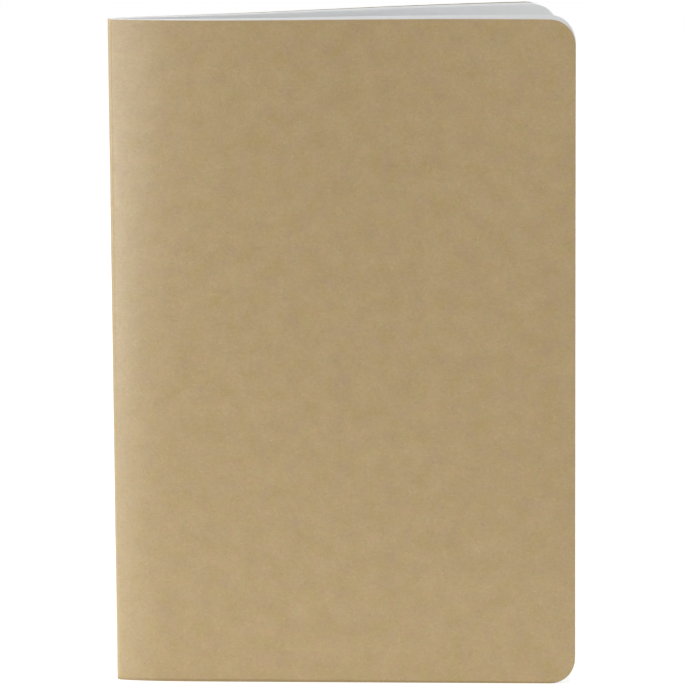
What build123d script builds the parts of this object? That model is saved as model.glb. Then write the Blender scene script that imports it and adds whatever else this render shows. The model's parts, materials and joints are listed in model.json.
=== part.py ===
from build123d import *
import os
from math import cos, radians, sin, sqrt

# A stapled exercise book: a kraft card cover round nested folded sheets, held by two wire staples.
# Millimetres, +Z up. It stands on its lower edges, a little open, with its spine towards -X and
# its front cover towards -Y. The origin is the middle of the footprint.

# Book format
CLOSED_WIDTH = 145.0  # spine to fore-edge with the book shut
HEIGHT = 210.0
CORNER_RADIUS = 8.0  # die-cut corners at the fore-edge

# Card and paper
SHEET_COUNT = 12
SHEET_THICKNESS = 0.10
COVER_THICKNESS = 0.40
LAYER_GAP = 0.02  # air between one fold and the next

# How far the book stands open, in degrees
CENTRE_GAP = 12.6  # between the two middle leaves
FRONT_FAN = 4.7  # from the middle leaf out to the front cover
BACK_FAN = 2.7  # from the middle leaf out to the back cover
FRONT_LIFT_ANGLE = 0.4  # between the front cover and the leaf next to it
BACK_LIFT_ANGLE = 0.8  # between the back cover and the leaf next to it

# Creases: what lies inside the crease circle stays with the spine, what lies outside turns
CREASE_REACH = 1.0  # from the outside of the spine to the crease circle
TURN_CLEARANCE = 0.05

# Staples
WIRE_DIAMETER = 0.4
WIRE_CLEARANCE = 0.03
CLINCH_ROOM = 0.10  # between the clinched wire and each middle leaf of the shut book
CROWN_LENGTH = 13.0  # between the centres of the two legs
CROWN_BITE = 0.30  # how deep the crown is pressed into the card
CLINCH_LENGTH = 5.5
BEND_RADIUS = 0.35  # at the middle of the wire
STAPLE_SPACING = 105.0  # between the middles of the two staples

FOLD_INNER_RADIUS = WIRE_DIAMETER / 2 + CLINCH_ROOM
LAYER_PITCH = SHEET_THICKNESS + LAYER_GAP
COVER_INNER_RADIUS = FOLD_INNER_RADIUS + SHEET_COUNT * LAYER_PITCH
COVER_RADIUS = COVER_INNER_RADIUS + COVER_THICKNESS / 2
SPINE_RADIUS = COVER_INNER_RADIUS + COVER_THICKNESS
CREASE_RADIUS = SPINE_RADIUS + CREASE_REACH
FORE_EDGE = CLOSED_WIDTH - SPINE_RADIUS  # from the fold axis
COVER_ANGLE = (FRONT_FAN + CENTRE_GAP + BACK_FAN) / 2  # each cover from the middle plane

FRONT = -1  # the side of the middle plane that a panel lies on, as the sign of its Y
BACK = 1


def sheet_radius(sheet):
    """Radius of a sheet's fold at the middle of the paper. Sheet 1 is the outermost."""
    return FOLD_INNER_RADIUS + (SHEET_COUNT - sheet) * LAYER_PITCH + SHEET_THICKNESS / 2


def leaf_angle(sheet, fan, lift):
    """Angle of a leaf from the middle plane: the leaves fan out evenly, and the cover lifts off them."""
    return COVER_ANGLE - lift - (fan - lift) * (sheet - 1) / (SHEET_COUNT - 1)


def panel(radius, thickness, side, angle):
    """A cover board or a leaf, from the crease circle to the fore-edge, turned to its angle."""
    inner_face = radius - thickness / 2
    start = sqrt((CREASE_RADIUS + TURN_CLEARANCE) ** 2 - inner_face**2)
    blank = Pos(start, 0) * Rectangle(FORE_EDGE - start, HEIGHT, align=Align.MIN)
    fore_corners = blank.vertices().sort_by(Axis.X)[-2:]
    blank = fillet(fore_corners, CORNER_RADIUS)
    flat = extrude(Plane.XZ.offset(inner_face) * blank, thickness)
    if side == BACK:
        flat = mirror(flat, about=Plane.XZ)
    return Rot(0, 0, side * angle) * flat


def beside_fold(along, offset, side, angle):
    """A plan point on a turned panel: along it from the fold axis, and out from its middle plane."""
    turn = radians(angle)
    x = along * cos(turn) - offset * sin(turn)
    y = along * sin(turn) + offset * cos(turn)
    return (x, side * y)


def fold(radius, thickness, front_angle, back_angle):
    """The creased part of a sheet: half a tube round the fold axis, with a short leg to each panel."""
    outer = radius + thickness / 2
    inner = radius - thickness / 2
    leg = sqrt(CREASE_RADIUS**2 - outer**2)
    front_outer = beside_fold(0, outer, FRONT, front_angle)
    front_inner = beside_fold(0, inner, FRONT, front_angle)
    back_outer = beside_fold(0, outer, BACK, back_angle)
    back_inner = beside_fold(0, inner, BACK, back_angle)
    front_end_outer = beside_fold(leg, outer, FRONT, front_angle)
    front_end_inner = beside_fold(leg, inner, FRONT, front_angle)
    back_end_outer = beside_fold(leg, outer, BACK, back_angle)
    back_end_inner = beside_fold(leg, inner, BACK, back_angle)
    outline = [
        Line(front_end_outer, front_outer),
        ThreePointArc(front_outer, (-outer, 0), back_outer),
        Line(back_outer, back_end_outer),
        Line(back_end_outer, back_end_inner),
        Line(back_end_inner, back_inner),
        ThreePointArc(back_inner, (-inner, 0), front_inner),
        Line(front_inner, front_end_inner),
        Line(front_end_inner, front_end_outer),
    ]
    return extrude(make_face(outline), HEIGHT)


def wire(points, diameter):
    """Round wire bent through points of the middle plane, each given as (X, Z)."""
    path = Plane.XZ * FilletPolyline(*points, radius=BEND_RADIUS)
    section = Plane(path @ 0, z_dir=path % 0) * Circle(diameter / 2)
    return sweep(section, path=path)


CROWN_X = -(SPINE_RADIUS + WIRE_DIAMETER / 2 - CROWN_BITE)
CLINCH_X = -(FOLD_INNER_RADIUS - WIRE_DIAMETER / 2 - WIRE_CLEARANCE)


def staple(middle):
    """A staple at a height: crown outside the spine, both legs bent inwards in the centre fold."""
    top = middle + CROWN_LENGTH / 2
    bottom = middle - CROWN_LENGTH / 2
    points = [
        (CLINCH_X, top - CLINCH_LENGTH),
        (CLINCH_X, top),
        (CROWN_X, top),
        (CROWN_X, bottom),
        (CLINCH_X, bottom),
        (CLINCH_X, bottom + CLINCH_LENGTH),
    ]
    return wire(points, WIRE_DIAMETER)


def staple_way(middle):
    """What a staple pierces and presses: its two leg holes and the groove under its crown."""
    top = middle + CROWN_LENGTH / 2
    bottom = middle - CROWN_LENGTH / 2
    points = [(0, top), (CROWN_X, top), (CROWN_X, bottom), (0, bottom)]
    return wire(points, WIRE_DIAMETER + 2 * WIRE_CLEARANCE)


upper_middle = HEIGHT / 2 + STAPLE_SPACING / 2
lower_middle = HEIGHT / 2 - STAPLE_SPACING / 2
staple_ways = [staple_way(upper_middle), staple_way(lower_middle)]

pieces = {
    "upper_staple": staple(upper_middle),
    "lower_staple": staple(lower_middle),
    "front_cover": panel(COVER_RADIUS, COVER_THICKNESS, FRONT, COVER_ANGLE),
    "back_cover": panel(COVER_RADIUS, COVER_THICKNESS, BACK, COVER_ANGLE),
    "cover_spine": fold(COVER_RADIUS, COVER_THICKNESS, COVER_ANGLE, COVER_ANGLE) - staple_ways,
}

# Leaves are numbered as they are read: down through the sheets, then back out again
for sheet in range(1, SHEET_COUNT + 1):
    radius = sheet_radius(sheet)
    front_angle = leaf_angle(sheet, FRONT_FAN, FRONT_LIFT_ANGLE)
    back_angle = leaf_angle(sheet, BACK_FAN, BACK_LIFT_ANGLE)
    last_leaf = 2 * SHEET_COUNT + 1 - sheet
    pieces[f"leaf_{sheet:02d}"] = panel(radius, SHEET_THICKNESS, FRONT, front_angle)
    pieces[f"leaf_{last_leaf:02d}"] = panel(radius, SHEET_THICKNESS, BACK, back_angle)
    sheet_fold = fold(radius, SHEET_THICKNESS, front_angle, back_angle)
    pieces[f"sheet_fold_{sheet:02d}"] = sheet_fold - staple_ways

box = Compound(list(pieces.values())).bounding_box()
to_foot = Pos(-box.center().X, -box.center().Y, -box.min.Z)
print(f"fold axis at X {-box.center().X:.6f}, Y {-box.center().Y:.6f}")
print(f"size {box.size.X:.3f} x {box.size.Y:.3f} x {box.size.Z:.3f}")

os.makedirs("parts", exist_ok=True)
for name, piece in pieces.items():
    export_step(to_foot * piece, f"parts/{name}.step")
print(f"{len(pieces)} pieces written")
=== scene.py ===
# %% [markdown]
# # A stapled exercise book
# The book is one folded piece of kraft card, a dozen folded sheets of paper and two wire staples. Its solids
# are stiff boards that turn about one fold axis, but real card and paper bend. The boards could be shown as
# they are, and would look like wood. So each one gets a thin bent sheet in its place, and the staples keep
# their solids. Every size is read from the solids, so nothing has to be fitted afterwards.

# %% Load the solids
import json
from math import cos, pi, radians, sin, tan

import bpy
import numpy as np
from mathutils import Matrix, Vector


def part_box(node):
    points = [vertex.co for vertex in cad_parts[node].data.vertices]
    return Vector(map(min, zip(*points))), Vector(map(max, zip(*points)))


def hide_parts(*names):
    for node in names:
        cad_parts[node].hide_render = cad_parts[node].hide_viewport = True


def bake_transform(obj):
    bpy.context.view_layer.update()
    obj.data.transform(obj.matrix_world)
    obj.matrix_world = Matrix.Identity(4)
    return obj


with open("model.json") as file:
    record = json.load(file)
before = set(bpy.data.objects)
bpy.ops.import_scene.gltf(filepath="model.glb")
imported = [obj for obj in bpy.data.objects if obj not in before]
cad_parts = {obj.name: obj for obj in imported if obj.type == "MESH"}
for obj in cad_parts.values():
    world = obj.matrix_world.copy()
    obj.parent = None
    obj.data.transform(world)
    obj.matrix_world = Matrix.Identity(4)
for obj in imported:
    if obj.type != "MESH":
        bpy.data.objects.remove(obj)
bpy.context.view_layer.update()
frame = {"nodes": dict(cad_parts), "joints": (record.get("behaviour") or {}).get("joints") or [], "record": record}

# %% [markdown]
# ## Reading the book's sizes
# A cover or a leaf is a flat panel that stands at its own angle to the middle plane. It is described in two
# directions of its own: along it from the fold axis, and out from the middle plane. The sizes could be typed
# in again, but then a change to the solids would leave the sheets behind. Turning a solid's points back by
# its rest angle reads them instead. They are in millimetres, the unit that a bookbinder would use.

# %% Fold axis and rest angles
MM = 0.001
cover_hinge = next(joint for joint in frame["joints"] if joint["name"] == "front_cover_turn")
fold_axis = np.array(cover_hinge["pos_m"][:2]) / MM
cover_angle = -cover_hinge["range_deg"][0]  # shutting the book turns the cover back by this much
couplings = frame["record"]["behaviour"]["couplings"]
shares = {coupling["joint"]: coupling["ratio"] for coupling in couplings}


def rest_angle(node):
    """How far a panel stands from the middle plane, in degrees."""
    return cover_angle * shares.get(f"{node}_turn", 1.0)


print(f"fold axis at x {fold_axis[0]:.2f} mm, cover at {cover_angle:.1f} degrees")

# %% Height, reach and corners of the cover
FRONT = -1  # the sign of Y on the front cover's side
BACK = 1
EDGE_DEPTH = 0.01  # points this close to the fore-edge lie on it


def measure_panel(node, side):
    """Reach, inner face and outer face of a panel, and the radius of its corners, in millimetres."""
    points = np.array([v.co for v in frame["nodes"][node].data.vertices]) / MM
    turn = radians(rest_angle(node))
    x = points[:, 0] - fold_axis[0]
    y = side * (points[:, 1] - fold_axis[1])
    along = x * cos(turn) + y * sin(turn)
    out = y * cos(turn) - x * sin(turn)
    fore_edge = points[along > along.max() - EDGE_DEPTH]
    return along.max(), out.min(), out.max(), fore_edge[:, 2].min()


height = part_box("front_cover")[1].z / MM
reach, _, _, corner = measure_panel("front_cover", FRONT)
print(f"height {height:.1f} mm, reach {reach:.2f} mm, corner radius {corner:.2f} mm")

# %% [markdown]
# ## The line of a bent sheet
# Seen from above, half a folded sheet starts at the tip of the fold, goes round a small arc, leaves it a
# little too steeply, because card springs back, and settles towards its own straight line. A flat board with
# a bend modifier would be quicker, but the sheets inside one another would not nest. So the line is worked
# out point by point, with the points closer together where it bends and in the rounded corners.

# %% Stations along a panel
SHOULDER_REACH = 40.0  # where the springy shoulder has died away
SHOULDER_STEPS = 16
SHOULDER_CROWDING = 1.6  # above 1, the stations crowd towards the fold
MIDDLE_STEPS = 14
CORNER_STEPS = 9


def stations(start):
    """Distances along a panel, close together in the shoulder and in the rounded corners."""
    crowded = np.linspace(0, 1, SHOULDER_STEPS + 1)[1:] ** SHOULDER_CROWDING
    shoulder = start + (SHOULDER_REACH - start) * crowded
    middle = np.linspace(SHOULDER_REACH, reach - corner, MIDDLE_STEPS + 1)[1:]
    rounding = reach - corner + corner * np.sin(np.linspace(0, pi / 2, CORNER_STEPS + 1)[1:])
    return np.concatenate([shoulder, middle, rounding])


print("stations along a panel", len(stations(0.0)))

# %% Plan line of half a sheet
ARC_STEPS = 12
SPRING_LENGTH = 8.5  # the shoulder's slope falls to about a third over this length


def plan_line(radius, angle, spring):
    """Along and out for half a sheet, from the tip of its fold to its fore-edge."""
    steep = radians(spring)
    arc = np.linspace(pi - radians(angle), pi / 2 + steep, ARC_STEPS + 1)
    along = radius * np.cos(arc)
    out = radius * np.sin(arc)
    panel = stations(along[-1])
    run = panel - along[-1]
    rise = SPRING_LENGTH * tan(steep) * (1 - np.exp(-run / SPRING_LENGTH))
    settle = (out[-1] + rise[-1] - radius) / run[-1]
    return np.append(along, panel), np.append(out, out[-1] + rise - settle * run)


columns = ARC_STEPS + 1 + len(stations(0.0))
print("points of a plan line", columns)

# %% [markdown]
# ## Lean and curl
# A real book is never quite flat. Towards the head, both halves of this one lean together: a little to
# the front near the spine and a little to the back beyond the middle. A cloth simulation could give such a
# form, but a different one for every sheet. A formula that all sheets share keeps them nested. Each leaf
# also curls in a little more than the one outside it, by uneven steps as in a handled book, so that the
# leaves still lie in order when the book is shut.

# %% Lean of the whole book
LEAN_ARCH = 0.6  # one hump along the width, at the head, towards the back
LEAN_WAVE = -1.6  # one full wave along the width, at the head, towards the front near the spine
LEAN_POWER = 1.6  # how the lean grows from the foot to the head
LEAN_START = 9.0  # the fold itself is stiff, and the lean sets in over this distance from it


def lean(along, z):
    """Sideways lean of the whole book, towards the back cover, in millimetres."""
    share = np.clip(along / reach, 0, 1)
    wave = LEAN_ARCH * np.sin(pi * share) + LEAN_WAVE * np.sin(2 * pi * share)
    start = 1 - np.exp(-((np.clip(along, 0, None) / LEAN_START) ** 2))
    return wave * start * (z / height) ** LEAN_POWER


for share in (0.25, 0.75):
    print(f"lean at the head, {share:.0%} of the way along: {lean(share * reach, height):.2f} mm")

# %% Curl of each leaf
CURL_ROOM = 0.25  # how far the innermost leaf bends in at its fore-edge, within the gap at the centre fold
CURL_STEPS = (0.2, 1.8)  # smallest and largest step from leaf to leaf, before they are fitted to the room
sheet_count = sum(1 for name in frame["nodes"] if name.startswith("sheet_fold_"))
uneven = np.random.default_rng(7)


def leaf_curls():
    """Curls of one half's leaves, from the outermost in. Each bends in a little more than the last."""
    steps = uneven.uniform(*CURL_STEPS, sheet_count)
    return -CURL_ROOM * np.cumsum(steps) / steps.sum()


front_curls = leaf_curls()
back_curls = leaf_curls()
print(f"{sheet_count} sheets, outermost leaves curl {front_curls[0]:.3f} and {back_curls[0]:.3f} mm")

# %% [markdown]
# ## From a line to a sheet
# Card and paper are thin, but their edges show along the head of the book, so a sheet needs two faces and
# a rim. A solidify modifier could thicken a plane. Here both faces are written out instead, so that nothing
# depends on a modifier's settings: the plan line is repeated in rows from foot to head, once for each face,
# and the points are joined to squares. Each point also keeps its place on the flat sheet in millimetres, as
# a UV map. The materials draw their patterns on that map, so a pattern bends with its sheet.

# %% Points of a sheet
ROWS = 26
CURL_AT_FOOT = 0.4  # the foot has this share of the curl, and the head has all of it


def sheet_points(side, angle, inner, outer, spring, curl):
    """Points on both faces of half a sheet, in metres, and their places on it when flat, in millimetres."""
    along, out = plan_line((inner + outer) / 2, angle, spring)
    past_corner = np.clip(along - (reach - corner), 0, corner)
    cut = corner - np.sqrt(corner**2 - past_corner**2)
    z = cut + (height - 2 * cut) * np.linspace(0, 1, ROWS)[:, None]
    growing = CURL_AT_FOOT + (1 - CURL_AT_FOOT) * z / height
    bend = side * lean(along, z) + curl * np.clip(along / reach, 0, 1) ** 2 * growing
    slope = np.arctan2(np.gradient(out), np.gradient(along))
    half = (outer - inner) / 2
    turn = radians(angle)
    faces = []
    for offset in (half, -half):
        face_along = along - offset * np.sin(slope) + 0 * z
        face_out = out + offset * np.cos(slope) + bend
        x = fold_axis[0] + face_along * cos(turn) - face_out * sin(turn)
        y = fold_axis[1] + side * (face_along * sin(turn) + face_out * cos(turn))
        faces.append(np.stack([x, y, z], axis=-1).reshape(-1, 3))
    travelled = np.append(0, np.cumsum(np.hypot(np.diff(along), np.diff(out))))
    flat = np.stack([-side * travelled + 0 * z, z], axis=-1).reshape(-1, 2)
    return np.concatenate(faces) * MM, np.concatenate([flat, flat])


print("points of a sheet", 2 * ROWS * columns)

# %% Faces of a sheet
def sheet_faces(side):
    """Squares on both faces of a sheet, and the rim that joins them, all facing outwards."""

    def at(face, row, column):
        return (face * ROWS + row) * columns + column

    squares = []
    for row in range(ROWS - 1):
        for column in range(columns - 1):
            square = [(row, column), (row, column + 1), (row + 1, column + 1), (row + 1, column)]
            squares.append([at(0, *place) for place in square])
            squares.append([at(1, *place) for place in square[:1] + square[:0:-1]])
    rim = [(0, column) for column in range(columns)]
    rim += [(row, columns - 1) for row in range(1, ROWS)]
    rim += [(ROWS - 1, column) for column in range(columns - 2, -1, -1)]
    rim += [(row, 0) for row in range(ROWS - 2, 0, -1)]
    for here, there in zip(rim, rim[1:] + rim[:1]):
        squares.append([at(0, *there), at(0, *here), at(1, *here), at(1, *there)])
    return squares if side == FRONT else [square[::-1] for square in squares]


print("squares of a sheet", len(sheet_faces(FRONT)))

# %% Mesh of a sheet
SHEET_MAP = "sheet_mm"  # millimetres from the fold and up from the foot
SHARP_ANGLE = 50.0  # an edge that turns more than this stays crisp, as a cut edge of card is


def bent_sheet(name, points, flat, squares):
    """A closed thin mesh with its flat places as a map. The faces are smooth and the rim is crisp."""
    mesh = bpy.data.meshes.new(name)
    mesh.from_pydata(points.tolist(), [], squares)
    corners = np.zeros(len(mesh.loops), dtype=np.int32)
    mesh.loops.foreach_get("vertex_index", corners)
    mesh.uv_layers.new(name=SHEET_MAP).data.foreach_set("uv", flat[corners].astype(np.float32).ravel())
    mesh.shade_smooth()
    mesh.set_sharp_from_angle(angle=radians(SHARP_ANGLE))
    piece = bpy.data.objects.new(name, mesh)
    bpy.context.scene.collection.objects.link(piece)
    return piece


print("map on every sheet:", SHEET_MAP)

# %% [markdown]
# ## Helpers for the materials
# Every colour is written as it would be picked on a screen, and one function turns it to the linear light
# that the renderer counts in. One more adds a node with its settings and its links. Nodes could be wired by
# hand in the shader editor, but a script can be read from top to bottom, and a material then reads as a list
# of what its surface does.

# %% Colour
def linear(hex_colour):
    """Linear colour with alpha from an sRGB hex value."""
    values = [int(hex_colour[i : i + 2], 16) / 255 for i in (0, 2, 4)]
    return [v / 12.92 if v <= 0.04045 else ((v + 0.055) / 1.055) ** 2.4 for v in values] + [1.0]


print(f"a screen's mid grey is {linear('808080')[0]:.3f} in linear light")

# %% Nodes
SHARE, BELOW, ABOVE = 0, 6, 7  # the colour inputs of a mix node, which has others for plain numbers
MIXED = 2  # and its colour output


def add(tree, kind, inputs=None, **settings):
    """Adds a node. An input takes a plain value, or another node's output as a link."""
    node = tree.nodes.new(kind)
    for name, value in settings.items():
        setattr(node, name, value)
    for socket, value in (inputs or {}).items():
        if isinstance(value, bpy.types.NodeSocket):
            tree.links.new(value, node.inputs[socket])
        else:
            node.inputs[socket].default_value = value
    return node


def new_material(name):
    """An empty material, its node tree and its output node."""
    material = bpy.data.materials.new(name)
    material.use_nodes = True
    material.node_tree.nodes.clear()
    print("new material", name)
    return material, material.node_tree, add(material.node_tree, "ShaderNodeOutputMaterial")


# %% [markdown]
# ## Kraft card
# The cover is unbleached kraft card: long brown wood fibres, pressed on a paper machine and left uncoated.
# The eye sees a warm tan in soft clouds, short pale and dark fibres, a few bark specks and a dull shine at
# low angles. A photograph of card would be quick, but it repeats and blurs close up. So each of these is a
# layer of noise at its own size in millimetres, laid over the one before.
#
# The pulp comes first. Its hue drifts, because its fibres come from many trees: the paler parts between
# russet and olive, the deeper parts between straw and dun.

# %% Pulp
PULP_HUES = {"pale": ("b5916e", "a3996a"), "deep": ("a08d45", "a08571")}  # russet, olive, straw and dun
PULP_MM = {"pale": 3.0, "deep": 5.0}  # width of a patch of one hue
card, card_tree, card_output = new_material("kraft_card_uncoated")
on_card = add(card_tree, "ShaderNodeUVMap", uv_map=SHEET_MAP).outputs["UV"]
pulp = {}
for part, (hue, other_hue) in PULP_HUES.items():
    drift = add(
        card_tree, "ShaderNodeTexNoise", {"Vector": on_card, "Scale": 1 / PULP_MM[part], "Detail": 2.0}
    )
    drifting = add(
        card_tree,
        "ShaderNodeMix",
        {SHARE: drift.outputs["Fac"], BELOW: linear(hue), ABOVE: linear(other_hue)},
        data_type="RGBA",
    )
    pulp[part] = drifting.outputs[MIXED]
print("parts of the pulp:", ", ".join(pulp))

# %% [markdown]
# Card is faintly cloudy, because the wet pulp drains unevenly. Finer grain lies on the clouds, where
# fibres bunch. One noise with many octaves could give both, but two noises keep the two sizes apart, and the
# grain is needed again for the relief.

# %% Clouds and grain
CLOUD_MM = 7.0
GRAIN_MM = 1.1
GRAIN_SHARE = 0.55  # weight of the grain, where the clouds weigh 1
ALL_DEEP, ALL_PALE = 0.45, 1.1  # sums of the two at which the pulp is all deep and all pale
clouds = add(card_tree, "ShaderNodeTexNoise", {"Vector": on_card, "Scale": 1 / CLOUD_MM, "Detail": 4.0})
grain = add(card_tree, "ShaderNodeTexNoise", {"Vector": on_card, "Scale": 1 / GRAIN_MM, "Detail": 3.0})
mottle = add(
    card_tree,
    "ShaderNodeMath",
    {0: grain.outputs["Fac"], 1: GRAIN_SHARE, 2: clouds.outputs["Fac"]},
    operation="MULTIPLY_ADD",
)
patchy = add(
    card_tree, "ShaderNodeMapRange", {"Value": mottle.outputs[0], "From Min": ALL_DEEP, "From Max": ALL_PALE}
)
mottled = add(
    card_tree,
    "ShaderNodeMix",
    {SHARE: patchy.outputs[0], BELOW: pulp["deep"], ABOVE: pulp["pale"]},
    data_type="RGBA",
)
card_colour = mottled.outputs[MIXED]
card_relief = grain.outputs["Fac"]
print("nodes of the card with clouds and grain", len(card_tree.nodes))

# %% [markdown]
# Along the fold the card is a little paler and greyer. The band is partly rub wear from hands and shelves and
# partly painted sheen, standing in for the soft shine of the rounded spine. That could be painted on by hand.
# The map already holds each point's distance from the fold, so the band follows the fold by itself, on both
# covers and round the spine.

# %% Rubbed fold and painted sheen
# a paler, greyer tan near the fold: partly rub wear, partly painted sheen of the rounded spine
KRAFT_RUBBED_AND_SHEEN = "dccbaa"
RUB_AND_SHEEN_WIDTH_MM = 18.0
RUB_AND_SHEEN_PALING = 0.105  # share of the rubbed colour at the fold
card_place = add(card_tree, "ShaderNodeSeparateXYZ", {"Vector": on_card})
from_fold = add(card_tree, "ShaderNodeMath", {0: card_place.outputs["X"]}, operation="ABSOLUTE")
rub_and_sheen = add(
    card_tree,
    "ShaderNodeMapRange",
    {"Value": from_fold.outputs[0], "From Max": RUB_AND_SHEEN_WIDTH_MM, "To Min": RUB_AND_SHEEN_PALING, "To Max": 0.0},
    interpolation_type="SMOOTHSTEP",
)
# lays the rub wear and painted sheen over the card, fading out with distance from the fold
rubbed_and_sheened = add(
    card_tree,
    "ShaderNodeMix",
    {SHARE: rub_and_sheen.outputs[0], BELOW: card_colour, ABOVE: linear(KRAFT_RUBBED_AND_SHEEN)},
    data_type="RGBA",
)
card_colour = rubbed_and_sheened.outputs[MIXED]
print("rubbed to", RUB_AND_SHEEN_WIDTH_MM, "mm from the fold")

# %% [markdown]
# Single fibres lie on the surface, some paler and some darker than the pulp, in all directions. Thousands of
# hair strands could be laid there, at a great cost. Noise that is stretched along one direction shows only
# its peaks as short streaks, and three directions for each colour look like none. A real fibre is about
# 0.04 mm thick, too fine for the picture, so these are drawn about five times as thick.

# %% Fibres
FIBRE_PALE = "d4be95"
FIBRE_DARK = "846a44"
FIBRE_LENGTH_MM = 2.4
FIBRE_WIDTH_MM = 0.22
FIBRE_LAYERS = ((FIBRE_PALE, 0.20, (8, 67, 131)), (FIBRE_DARK, 0.30, (24, 98, 163)))  # turns in degrees
FIBRE_SHIFT_MM = Vector((1.7, 0.9, 0))  # for each degree, so that no two layers share their streaks
FIBRE_BEGINS, FIBRE_FULL = 0.60, 0.76  # levels of the noise
for fibre_colour, strength, turns in FIBRE_LAYERS:
    for turn in turns:
        laid = add(
            card_tree,
            "ShaderNodeMapping",
            {
                "Vector": on_card,
                "Location": turn * FIBRE_SHIFT_MM,
                "Rotation": (0, 0, radians(turn)),
                "Scale": (FIBRE_LENGTH_MM, FIBRE_WIDTH_MM, 1),
            },
            vector_type="TEXTURE",
        )
        streaks = add(
            card_tree,
            "ShaderNodeTexNoise",
            {"Vector": laid.outputs[0], "Scale": 1.0, "Detail": 1.0, "Distortion": 0.5},
        )
        fibres = add(
            card_tree,
            "ShaderNodeMapRange",
            {
                "Value": streaks.outputs["Fac"],
                "From Min": FIBRE_BEGINS,
                "From Max": FIBRE_FULL,
                "To Max": strength,
            },
            interpolation_type="SMOOTHSTEP",
        )
        covered = add(
            card_tree,
            "ShaderNodeMix",
            {SHARE: fibres.outputs[0], BELOW: card_colour, ABOVE: linear(fibre_colour)},
            data_type="RGBA",
        )
        card_colour = covered.outputs[MIXED]
        raised = add(card_tree, "ShaderNodeMath", {0: card_relief, 1: fibres.outputs[0]}, operation="ADD")
        card_relief = raised.outputs[0]
print("nodes of the card with fibres", len(card_tree.nodes))

# %% [markdown]
# Unbleached pulp keeps crumbs of bark. They could be small pieces of mesh, but they are pressed flat and
# part of the card. A Voronoi texture puts one dot in each cell of a loose grid. The cell's own random colour
# sets the size of its dot, so many specks are hardly there.

# %% Bark specks
BARK_BROWN = "745a37"
SPECK_SPACING_MM = 5.0
SPECK_RADIUS_MM = 0.22  # of the largest
SPECK_STRENGTH = 0.5
cells = add(card_tree, "ShaderNodeTexVoronoi", {"Vector": on_card, "Scale": 1 / SPECK_SPACING_MM})
chance = add(card_tree, "ShaderNodeSeparateColor", {"Color": cells.outputs["Color"]})
speck_radius = add(
    card_tree,
    "ShaderNodeMath",
    {0: chance.outputs[0], 1: SPECK_RADIUS_MM / SPECK_SPACING_MM},
    operation="MULTIPLY",
)
speck = add(
    card_tree,
    "ShaderNodeMath",
    {0: cells.outputs["Distance"], 1: speck_radius.outputs[0]},
    operation="LESS_THAN",
)
faint = add(card_tree, "ShaderNodeMath", {0: speck.outputs[0], 1: SPECK_STRENGTH}, operation="MULTIPLY")
specked = add(
    card_tree,
    "ShaderNodeMix",
    {SHARE: faint.outputs[0], BELOW: card_colour, ABOVE: linear(BARK_BROWN)},
    data_type="RGBA",
)
card_colour = specked.outputs[MIXED]
print(f"a speck every {SPECK_SPACING_MM} mm, up to {2 * SPECK_RADIUS_MM} mm across")

# %% [markdown]
# The layers end in one shader. The machine's last rollers press kraft card smoother than it looks, so it has
# a soft shine when light glides over it, and only a trace of relief. The relief could be modelled, but at a
# fiftieth of a millimetre a bump is enough.

# %% Surface of the card
CARD_ROUGHNESS = 0.36
CARD_IOR = 1.5  # about that of cellulose
CARD_RELIEF_MM = 0.02
CARD_RELIEF_STRENGTH = 0.35
card_bump = add(
    card_tree,
    "ShaderNodeBump",
    {"Height": card_relief, "Strength": CARD_RELIEF_STRENGTH, "Distance": CARD_RELIEF_MM * MM},
)
card_surface = add(
    card_tree,
    "ShaderNodeBsdfPrincipled",
    {
        "Base Color": card_colour,
        "Roughness": CARD_ROUGHNESS,
        "IOR": CARD_IOR,
        "Normal": card_bump.outputs[0],
    },
)
card_tree.links.new(card_surface.outputs[0], card_output.inputs["Surface"])
print(card.name, "has", len(card_tree.nodes), "nodes")

# %% [markdown]
# ## Writing paper
# The leaves are white wood-free paper, pressed smooth but uncoated: a clean, slightly cool white, because
# such paper holds a brightener, with very faint clouds and no shine. A plain white would do from far off.
# The clouds are what keeps a whole page from looking like plastic.

# %% Sheet of paper
PAPER_WHITE = "fafbfb"
PAPER_SHADE = "f4f5f6"
PAPER_CLOUD_MM = 4.0
paper, paper_tree, paper_output = new_material("writing_paper_wood_free")
on_paper = add(paper_tree, "ShaderNodeUVMap", uv_map=SHEET_MAP).outputs["UV"]
paper_clouds = add(
    paper_tree, "ShaderNodeTexNoise", {"Vector": on_paper, "Scale": 1 / PAPER_CLOUD_MM, "Detail": 5.0}
)
plain_paper = add(
    paper_tree,
    "ShaderNodeMix",
    {SHARE: paper_clouds.outputs["Fac"], BELOW: linear(PAPER_SHADE), ABOVE: linear(PAPER_WHITE)},
    data_type="RGBA",
)
print(f"paper clouds of {PAPER_CLOUD_MM} mm")

# %% [markdown]
# The pages have a feint ruling, a pale blue printed line every eight millimetres, with wider margins at the
# head and the foot. Each line could be a strip of mesh, but ink has no thickness. A triangle wave along the
# height of the page is zero at each line, so its lowest part is inked.

# %% Feint ruling
FEINT_BLUE = "a9bccd"
INK_STRENGTH = 0.75
LINE_SPACING_MM = 8.0
LINE_WIDTH_MM = 0.25
INK_FULL, INK_GONE = 0.3, 0.7  # shares of the line's width from its middle, for a soft edge
HEAD_MARGIN_MM = 22.0
FOOT_MARGIN_MM = 12.0
up_page = add(paper_tree, "ShaderNodeSeparateXYZ", {"Vector": on_paper}).outputs["Y"]
from_head = add(paper_tree, "ShaderNodeMath", {0: height - HEAD_MARGIN_MM, 1: up_page}, operation="SUBTRACT")
from_line = add(
    paper_tree, "ShaderNodeMath", {0: from_head.outputs[0], 1: LINE_SPACING_MM / 2}, operation="PINGPONG"
)
ink = add(
    paper_tree,
    "ShaderNodeMapRange",
    {
        "Value": from_line.outputs[0],
        "From Min": INK_FULL * LINE_WIDTH_MM,
        "From Max": INK_GONE * LINE_WIDTH_MM,
        "To Min": INK_STRENGTH,
        "To Max": 0.0,
    },
    interpolation_type="SMOOTHSTEP",
)
print(f"a line every {LINE_SPACING_MM} mm, {LINE_WIDTH_MM} mm wide")

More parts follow.
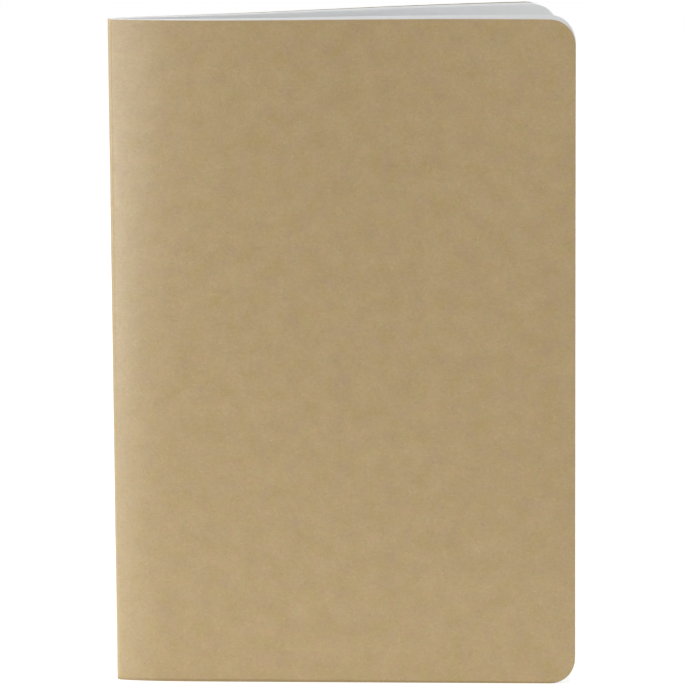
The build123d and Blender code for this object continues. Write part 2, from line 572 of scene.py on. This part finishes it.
# %% Margins of the ruling
below_head = add(
    paper_tree, "ShaderNodeMath", {0: from_head.outputs[0], 1: -LINE_WIDTH_MM}, operation="GREATER_THAN"
)
above_foot = add(paper_tree, "ShaderNodeMath", {0: up_page, 1: FOOT_MARGIN_MM}, operation="GREATER_THAN")
on_page = add(
    paper_tree, "ShaderNodeMath", {0: below_head.outputs[0], 1: above_foot.outputs[0]}, operation="MULTIPLY"
)
printed = add(paper_tree, "ShaderNodeMath", {0: ink.outputs[0], 1: on_page.outputs[0]}, operation="MULTIPLY")
ruled_paper = add(
    paper_tree,
    "ShaderNodeMix",
    {SHARE: printed.outputs[0], BELOW: plain_paper.outputs[MIXED], ABOVE: linear(FEINT_BLUE)},
    data_type="RGBA",
)
print(f"ruled from {FOOT_MARGIN_MM:.0f} to {height - HEAD_MARGIN_MM:.0f} mm above the foot")

# %% [markdown]
# Light goes a little way into paper and comes out again, which softens the shade between the leaves. A
# translucent shader could pass it on through a single face. But these sheets are thin and closed, so
# scattering under the surface carries a little of it from face to face by itself.

# %% Surface of the paper
PAPER_ROUGHNESS = 0.75
PAPER_IOR = 1.47
PAPER_RELIEF_MM = 0.02
PAPER_RELIEF_STRENGTH = 0.2
SCATTER_SHARE = 0.6
SCATTER_MM = 0.15
EVEN_COLOURS = (1.0, 1.0, 1.0)  # red, green and blue light go equally deep
paper_bump = add(
    paper_tree,
    "ShaderNodeBump",
    {
        "Height": paper_clouds.outputs["Fac"],
        "Strength": PAPER_RELIEF_STRENGTH,
        "Distance": PAPER_RELIEF_MM * MM,
    },
)
paper_surface = add(
    paper_tree,
    "ShaderNodeBsdfPrincipled",
    {
        "Base Color": ruled_paper.outputs[MIXED],
        "Roughness": PAPER_ROUGHNESS,
        "IOR": PAPER_IOR,
        "Subsurface Weight": SCATTER_SHARE,
        "Subsurface Radius": EVEN_COLOURS,
        "Subsurface Scale": SCATTER_MM * MM,
        "Normal": paper_bump.outputs[0],
    },
)
paper_tree.links.new(paper_surface.outputs[0], paper_output.inputs["Surface"])
print(paper.name, "has", len(paper_tree.nodes), "nodes")

# %% [markdown]
# ## Cover and leaves
# The cover and each sheet of paper are folded once, so each has two halves. Each half is one sheet, from the
# tip of the fold out to the fore-edge, bent round the fold as it stands at rest. It takes the place of its
# panel and of the fold that it starts from.


def dress(node, side, spring, curl, material, folds):
    """Puts a bent sheet in the place of a panel, and of the fold that it starts from."""
    _, inner, outer, _ = measure_panel(node, side)
    points, flat = sheet_points(side, rest_angle(node), inner, outer, spring, curl)
    piece = bent_sheet(f"{node}_sheet", points, flat, sheet_faces(side))
    piece.data.materials.append(material)
    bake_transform(piece)
    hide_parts(node, *folds)
    print(f"{piece.name}: {outer - inner:.2f} mm thick, {spring:.1f} degrees of spring")


# %% Cover
COVER_SPRING = 13.0  # degrees that the cover leaves its fold too steeply
dress("front_cover", FRONT, COVER_SPRING, 0, card, ["cover_spine"])
dress("back_cover", BACK, COVER_SPRING, 0, card, [])

# %% Leaves
INNER_SPRING = 6.0  # degrees at the innermost sheet, because paper springs back less than card
for sheet in range(1, sheet_count + 1):
    spring = COVER_SPRING + (INNER_SPRING - COVER_SPRING) * sheet / sheet_count
    front_leaf = f"leaf_{sheet:02d}"
    back_leaf = f"leaf_{2 * sheet_count + 1 - sheet:02d}"
    fold = f"sheet_fold_{sheet:02d}"
    dress(front_leaf, FRONT, spring, front_curls[sheet - 1], paper, [fold])
    dress(back_leaf, BACK, spring, back_curls[sheet - 1], paper, [])

# %% [markdown]
# ## Staples
# Two staples of galvanised steel wire hold the sheets: a bright grey metal whose zinc skin is a little
# uneven, so its shine is patchy. A thin wire could do with one plain grey. A fine noise in both the colour
# and the roughness breaks up the highlight when the camera comes close. The solids of the staples are as
# round as the real wire, so they stay and only get this finish.

# %% Galvanised wire
ZINC_BRIGHT = "c9ccd1"
ZINC_DULL = "a9adb3"
ZINC_PATCH_MM = 0.6
SMOOTHEST, ROUGHEST = 0.24, 0.42
wire, wire_tree, wire_output = new_material("steel_wire_galvanised")
on_wire = add(wire_tree, "ShaderNodeTexCoord").outputs["Object"]
zinc = add(
    wire_tree, "ShaderNodeTexNoise", {"Vector": on_wire, "Scale": 1 / (ZINC_PATCH_MM * MM), "Detail": 3.0}
)
wire_colour = add(
    wire_tree,
    "ShaderNodeMix",
    {SHARE: zinc.outputs["Fac"], BELOW: linear(ZINC_DULL), ABOVE: linear(ZINC_BRIGHT)},
    data_type="RGBA",
)
wire_roughness = add(
    wire_tree, "ShaderNodeMapRange", {"Value": zinc.outputs["Fac"], "To Min": SMOOTHEST, "To Max": ROUGHEST}
)
wire_surface = add(
    wire_tree,
    "ShaderNodeBsdfPrincipled",
    {
        "Base Color": wire_colour.outputs[MIXED],
        "Metallic": 1.0,
        "Roughness": wire_roughness.outputs[0],
    },
)
wire_tree.links.new(wire_surface.outputs[0], wire_output.inputs["Surface"])
print(wire.name, "has", len(wire_tree.nodes), "nodes")

# %% Finish the staples
for name in ("upper_staple", "lower_staple"):
    staple = frame["nodes"][name]
    staple.data.materials.clear()
    staple.data.materials.append(wire)
    print(f"{name}: {staple.dimensions.z / MM:.1f} mm long")

# %% [markdown]
# ## Stage
# The book stands on a white floor in a white room. Enough lamps would turn a grey floor white, but they
# would wash out the book as well. So the floor tells apart who looks at it. To the camera, and in shiny
# metal, it is mostly a white of its own, with a share of the light that falls on it, so that a soft shadow
# stays. All other light meets ordinary white paint, which throws it back up on the covers.

# %% Rays that are seen
def seen(tree):
    """1 for a ray from the camera, also by way of metal or glass, and 0 for light between surfaces."""
    path = add(tree, "ShaderNodeLightPath")
    direct_or_shine = add(
        tree,
        "ShaderNodeMath",
        {0: path.outputs["Is Camera Ray"], 1: path.outputs["Is Glossy Ray"]},
        operation="MAXIMUM",
    )
    any_of_them = add(
        tree,
        "ShaderNodeMath",
        {0: direct_or_shine.outputs[0], 1: path.outputs["Is Transmission Ray"]},
        operation="MAXIMUM",
    )
    return any_of_them.outputs[0]


# %% White paint
FLOOR_WHITE = "f0f0f0"
BACKDROP_LEVEL = 0.68  # the white of its own
SHADOW_SHARE = 0.6  # and the share of the light on it
paint, paint_tree, paint_output = new_material("white_paint_matt")
plain_paint = add(paint_tree, "ShaderNodeBsdfDiffuse", {"Color": linear(FLOOR_WHITE)})
own_white = add(paint_tree, "ShaderNodeEmission", {"Strength": BACKDROP_LEVEL})
lit_share = add(paint_tree, "ShaderNodeBsdfDiffuse", {"Color": [SHADOW_SHARE] * 3 + [1.0]})
seen_paint = add(paint_tree, "ShaderNodeAddShader", {0: own_white.outputs[0], 1: lit_share.outputs[0]})
either_paint = add(
    paint_tree,
    "ShaderNodeMixShader",
    {0: seen(paint_tree), 1: plain_paint.outputs[0], 2: seen_paint.outputs[0]},
)
paint_tree.links.new(either_paint.outputs[0], paint_output.inputs["Surface"])
print(paint.name, "has", len(paint_tree.nodes), "nodes")

# %% Floor
FLOOR_HALF = 8.0  # metres
floor_mesh = bpy.data.meshes.new("floor")
floor_corners = [(x * FLOOR_HALF, y * FLOOR_HALF, 0) for x, y in ((-1, -1), (1, -1), (1, 1), (-1, 1))]
floor_mesh.from_pydata(floor_corners, [], [(0, 1, 2, 3)])
floor_mesh.materials.append(paint)
floor = bpy.data.objects.new("floor", floor_mesh)
bpy.context.scene.collection.objects.link(floor)
print("floor", 2 * FLOOR_HALF, "m wide")

# %% [markdown]
# ## Light
# Much of the light comes evenly from all round, from the white room. A picture of a studio could give it,
# but a plain white world has no pattern that would show in the card's shine. As with the floor, the camera
# sees the world as white. The book gets a lower level, at which colours come out about as they are written.

# %% White room
ROOM_WHITE = "ffffff"
ROOM_LIGHT = 0.5
world = bpy.data.worlds.new("white_studio")
bpy.context.scene.world = world
world.use_nodes = True
room = world.node_tree
room.nodes.clear()
room_level = add(room, "ShaderNodeMapRange", {"Value": seen(room), "To Min": ROOM_LIGHT, "To Max": 1.0})
room_walls = add(
    room, "ShaderNodeBackground", {"Color": linear(ROOM_WHITE), "Strength": room_level.outputs[0]}
)
add(room, "ShaderNodeOutputWorld", {"Surface": room_walls.outputs[0]})
print("light from the room", ROOM_LIGHT)

# %% [markdown]
# Five flat lamps do the rest. A low strip at the front left and a soft lamp on the left brush the rounded
# spine. A faintly lit table under the book lifts the foot of the cover, and large soft lamps above and
# behind light the leaves. Spot lamps would cast hard shadows between the leaves, and large lamps don't.

# %% Lamps
STRIP_HEIGHT = 0.035  # metres above the floor
TABLE_PLACE = (-0.09, -0.03, 0.0005)  # just above the floor
above_table = (*TABLE_PLACE[:2], 1.0)
spine_foot = (fold_axis[0] * MM, fold_axis[1] * MM, STRIP_HEIGHT)
book_middle = (0, 0, 0.1)


def soft_lamp(name, place, target, wide, tall, watts):
    """A flat lamp at a place, facing its target. All lengths are in metres."""
    lamp = bpy.data.lights.new(name, "AREA")
    lamp.shape = "RECTANGLE"
    lamp.size = wide
    lamp.size_y = tall
    lamp.energy = watts
    holder = bpy.data.objects.new(name, lamp)
    holder.location = place
    holder.rotation_euler = (Vector(place) - Vector(target)).to_track_quat("Z", "Y").to_euler()
    holder.visible_camera = False
    bpy.context.scene.collection.objects.link(holder)
    print(f"{name}: {watts} W")


soft_lamp("left_strip", (-0.72, -0.66, STRIP_HEIGHT), spine_foot, wide=0.4, tall=0.06, watts=2.6)
soft_lamp("light_table", TABLE_PLACE, above_table, wide=0.36, tall=0.3, watts=0.15)
soft_lamp("rim_softbox", (-1.2, 0.15, 0.25), spine_foot, wide=0.5, tall=0.5, watts=4.8)
soft_lamp("top_softbox", (-0.1, -0.25, 1.25), book_middle, wide=0.8, tall=0.8, watts=4.6)
soft_lamp("rear_softbox", (0.35, 1.1, 0.9), book_middle, wide=0.8, tall=0.8, watts=5.4)

# %% [markdown]
# ## Camera
# The camera stands far off with a long lens, a little above the book and to the left of its middle. It could
# be aimed by eye with a target. Instead its place and its three angles come from matching the solid's edges
# to the edges in the picture, so the book fills the frame as it does there. The picture is square.

# %% Camera
PICTURE_SIZE = 685  # pixels
FOCAL_PIXELS = 5127.0
SENSOR_MM = 36.0
CAMERA_PLACE = Vector((-0.1727, -1.5801, 0.3895))  # metres
CAMERA_YAW = 6.251  # degrees
CAMERA_PITCH = 10.105
CAMERA_ROLL = -0.407
yaw, pitch, roll = radians(CAMERA_YAW), radians(CAMERA_PITCH), radians(CAMERA_ROLL)
forward = Vector((sin(yaw) * cos(pitch), cos(yaw) * cos(pitch), -sin(pitch)))
level_right = Vector((cos(yaw), -sin(yaw), 0))
level_up = level_right.cross(forward)
right = cos(roll) * level_right + sin(roll) * level_up
up = cos(roll) * level_up - sin(roll) * level_right
lens = bpy.data.cameras.new("camera")
lens.sensor_width = SENSOR_MM
lens.lens = FOCAL_PIXELS / PICTURE_SIZE * SENSOR_MM
camera = bpy.data.objects.new("camera", lens)
turned = Matrix((right, up, -forward)).transposed().to_4x4()
camera.matrix_world = Matrix.Translation(CAMERA_PLACE) @ turned
bpy.context.scene.collection.objects.link(camera)
bpy.context.scene.camera = camera
bpy.context.scene.view_settings.view_transform = "Standard"  # colours stay as written, with no film look
print(f"lens {lens.lens:.0f} mm, {CAMERA_PLACE.length:.2f} m from the foot of the book")
